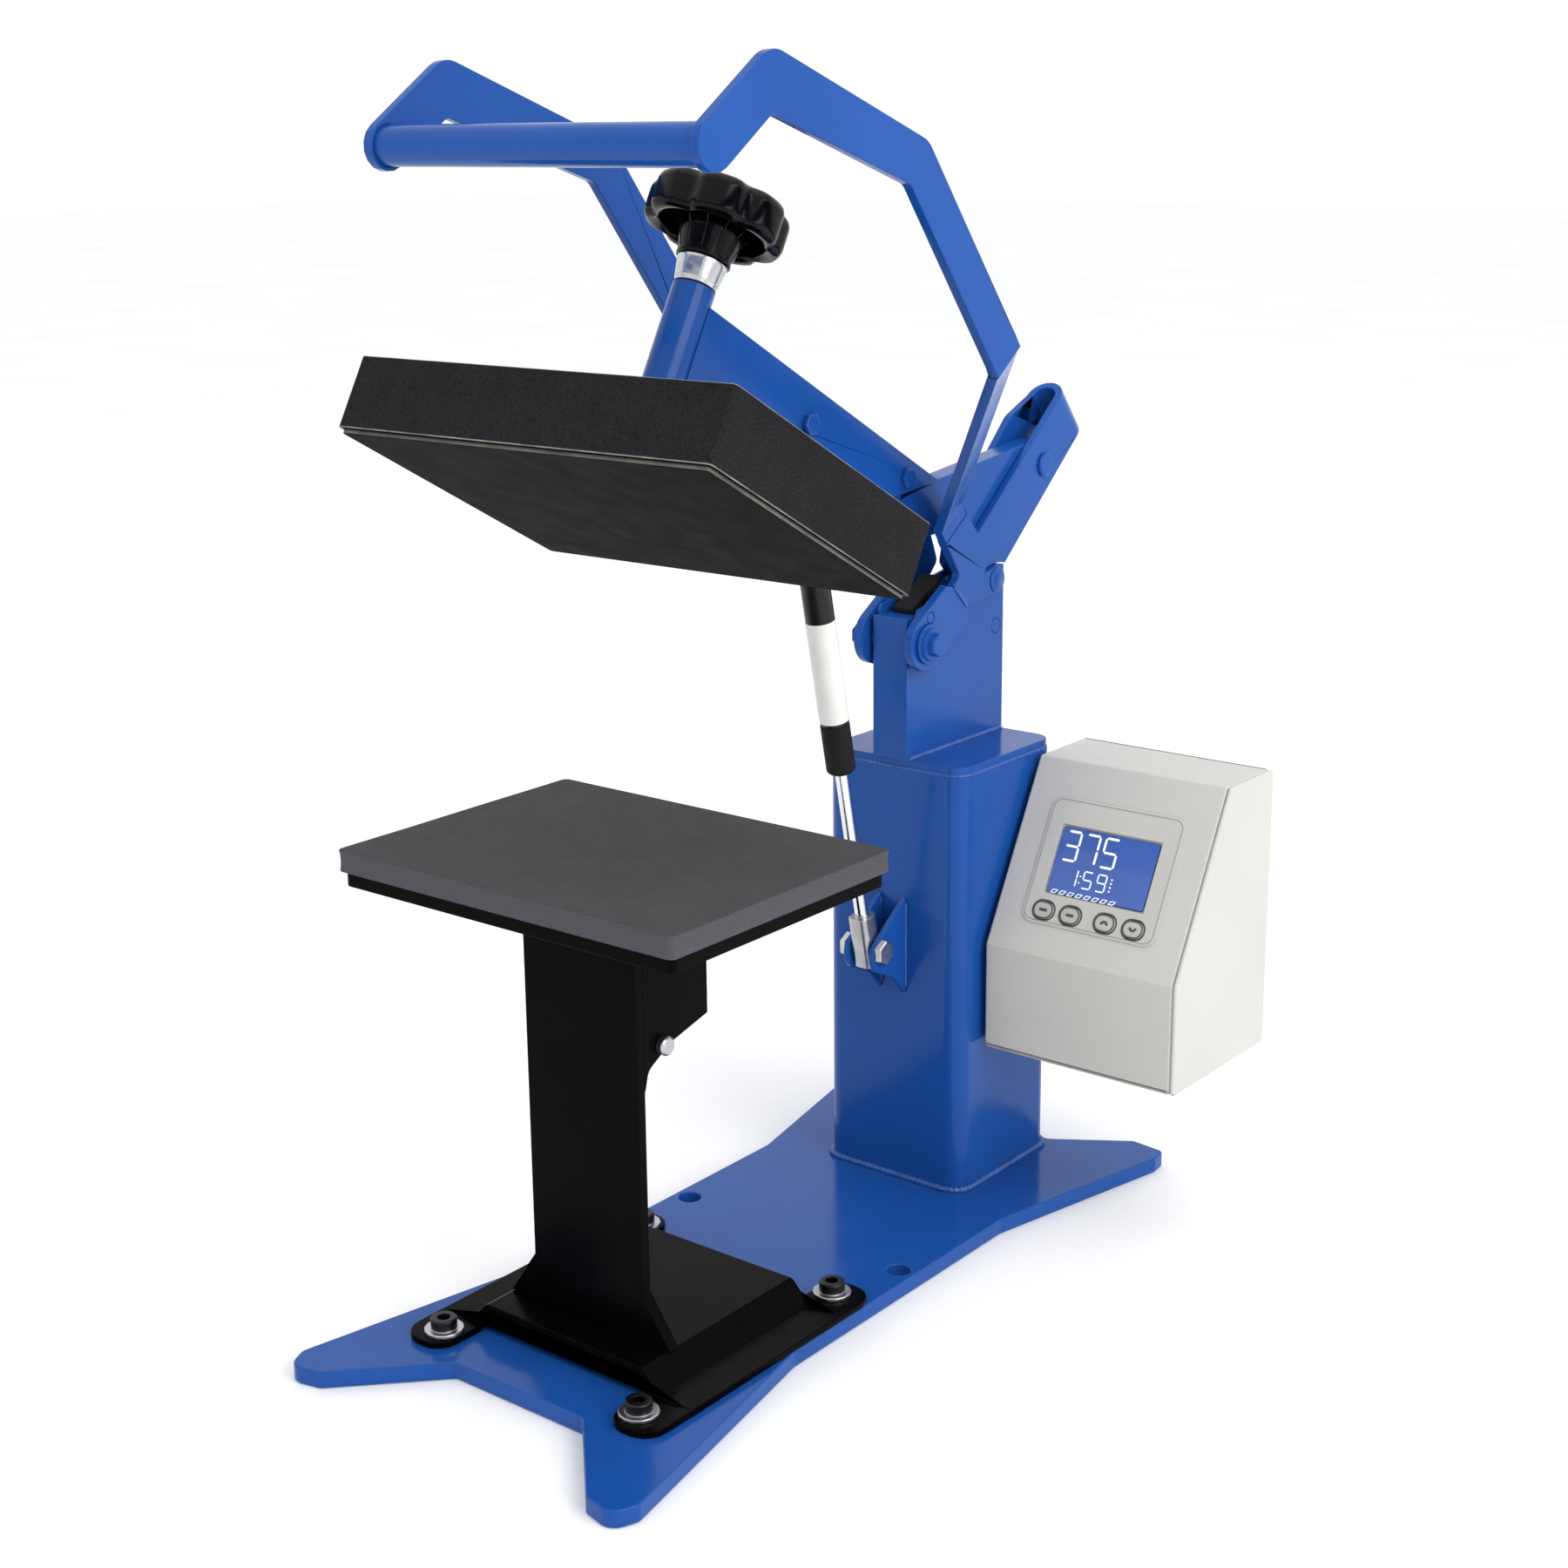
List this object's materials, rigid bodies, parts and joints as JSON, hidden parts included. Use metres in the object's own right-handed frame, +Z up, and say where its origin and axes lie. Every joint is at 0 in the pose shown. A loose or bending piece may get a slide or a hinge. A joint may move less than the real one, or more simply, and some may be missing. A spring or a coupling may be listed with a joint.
{
  "type": "heat press",
  "caption": "Clamshell label heat press, open: platen on a hinged arm over a padded pedestal, wrap-round handle, gas spring, pressure knob and side controller.",
  "frame": {"origin": "on the base plate's underside, straight below the middle of the pad", "axes": "+X to the operator's right, +Y from the front to the column at the back, +Z up"},
  "size_m": [0.2711, 0.5069, 0.5961],
  "materials": {
    "blue_paint": "gloss powder coat",
    "black_paint": "satin black powder coat",
    "cover_paint": "fine textured charcoal coat",
    "platen_coating": "cast aluminium with a dark non-stick coat underneath",
    "pad_rubber": "matte grey silicone sponge",
    "stop_rubber": "black rubber",
    "zinc_steel": "bright zinc plate",
    "chrome_metal": "polished",
    "spring_paint": "gloss black with a plain white sleeve",
    "black_plastic": "black moulded plastic",
    "knob_plastic": "polished black",
    "case_plastic": "off-white moulded case",
    "overlay_film": "off-white keypad film",
    "lcd": "blue liquid crystal display",
    "key_rubber": "grey keys",
    "board_green": "circuit board",
    "insulation": "rigid insulation"
  },
  "bodies": {
    "stand": {"base_plate": "blue_paint", "column_tube": "blue_paint", "column_cap": "blue_paint", "post": "blue_paint", "arm_hinge_pin": "blue_paint", "rubber_stop": "stop_rubber", "lever_bolt": "blue_paint", "spring_ear_left": "blue_paint", "spring_ear_right": "blue_paint", "spring_lower_pin": "zinc_steel", "pedestal_foot": "black_paint", "foot_bolt_1": "zinc_steel", "foot_bolt_2": "zinc_steel", "foot_bolt_3": "zinc_steel", "foot_bolt_4": "zinc_steel", "pedestal_upright": "black_paint", "platen_receiver": "black_paint", "receiver_clamp_screw": "zinc_steel", "lower_plate": "black_paint", "pad": "pad_rubber", "controller_bracket": "black_paint", "controller_case": "case_plastic", "controller_side_cover": "case_plastic", "controller_overlay": "overlay_film", "display": "lcd", "circuit_board": "board_green", "power_inlet": "black_plastic", "switch_housing": "black_plastic", "cable_gland": "black_plastic"},
    "arm": {"arm_channel": "blue_paint", "tail_plate": "blue_paint", "yoke_strap": "blue_paint", "yoke_pin": "blue_paint", "spindle_tube": "blue_paint", "arm_bolt": "blue_paint", "spring_upper_pin": "blue_paint"},
    "platen": {"platen_cover": "cover_paint", "heat_platen": "platen_coating", "heating_element": "zinc_steel", "insulation_board": "insulation", "temperature_sensor": "zinc_steel", "spindle_foot": "zinc_steel"},
    "knob": {"pressure_knob": "knob_plastic", "knob_collar": "chrome_metal"},
    "handle": {"handle_bar_left": "blue_paint", "handle_bar_right": "blue_paint", "handle_grip": "blue_paint", "lever_plate_left": "blue_paint", "lever_plate_right": "blue_paint"},
    "toggle": {"toggle_link_left": "blue_paint", "toggle_link_right": "blue_paint"},
    "spring_rod": {"spring_rod": "chrome_metal"},
    "spring_barrel": {"spring_barrel": "spring_paint", "spring_cap": "black_plastic"},
    "switch": {"rocker_switch": "knob_plastic"},
    "key_1": {"button_1": "key_rubber"},
    "key_2": {"button_2": "key_rubber"},
    "key_3": {"button_3": "key_rubber"},
    "key_4": {"button_4": "key_rubber"}
  },
  "joints": [
    {"name": "handle_swing", "type": "hinge", "parent": "stand", "child": "handle", "pos_m": [0, 0.222, 0.307], "axis": [1, 0, 0], "range_deg": [0, 57]},
    {"name": "arm_lift", "type": "hinge", "parent": "stand", "child": "arm", "pos_m": [0, 0.2975, 0.303], "axis": [1, 0, 0], "range_deg": [0, 28.91]},
    {"name": "platen_height", "type": "slide", "parent": "arm", "child": "platen", "axis": [0, 0.4833, 0.8755], "range_m": [0, 0.006]},
    {"name": "pressure_knob_turn", "type": "hinge", "parent": "arm", "child": "knob", "pos_m": [0, 0.07866, 0.52215], "axis": [0, 0.4833, 0.8755], "range_deg": [0, 1082]},
    {"name": "toggle_swing", "type": "hinge", "parent": "handle", "child": "toggle", "pos_m": [0, 0.225, 0.32], "axis": [1, 0, 0], "range_deg": [-58.31, 0]},
    {"name": "spring_swing", "type": "hinge", "parent": "stand", "child": "spring_rod", "pos_m": [0, 0.194, 0.1455], "axis": [1, 0, 0], "range_deg": [0, 16.05]},
    {"name": "spring_stroke", "type": "slide", "parent": "spring_rod", "child": "spring_barrel", "axis": [0, -0.2058, 0.9786], "range_m": [-0.07583, 0]},
    {"name": "button_1_press", "type": "slide", "parent": "stand", "child": "key_1", "axis": [0, 0.8761, -0.4821], "range_m": [0, 0.0011], "stiffness_N_per_m": 900},
    {"name": "button_2_press", "type": "slide", "parent": "stand", "child": "key_2", "axis": [0, 0.8761, -0.4821], "range_m": [0, 0.0011], "stiffness_N_per_m": 900},
    {"name": "button_3_press", "type": "slide", "parent": "stand", "child": "key_3", "axis": [0, 0.8761, -0.4821], "range_m": [0, 0.0011], "stiffness_N_per_m": 900},
    {"name": "button_4_press", "type": "slide", "parent": "stand", "child": "key_4", "axis": [0, 0.8761, -0.4821], "range_m": [0, 0.0011], "stiffness_N_per_m": 900},
    {"name": "power_rocker", "type": "hinge", "parent": "stand", "child": "switch", "pos_m": [0.095, 0.3265, 0.115], "axis": [0, 0, 1], "range_deg": [-10, 0]}
  ],
  "couplings": [
    {"joint": "arm_lift", "follows": "handle_swing", "ratio": 0.50702},
    {"joint": "toggle_swing", "follows": "handle_swing", "ratio": -1.0221},
    {"joint": "spring_swing", "follows": "handle_swing", "ratio": 0.28075},
    {"joint": "spring_stroke", "follows": "handle_swing", "m_per_rad": -0.076173},
    {"joint": "pressure_knob_turn", "follows": "platen_height", "rad_per_m": 3141.6}
  ]
}
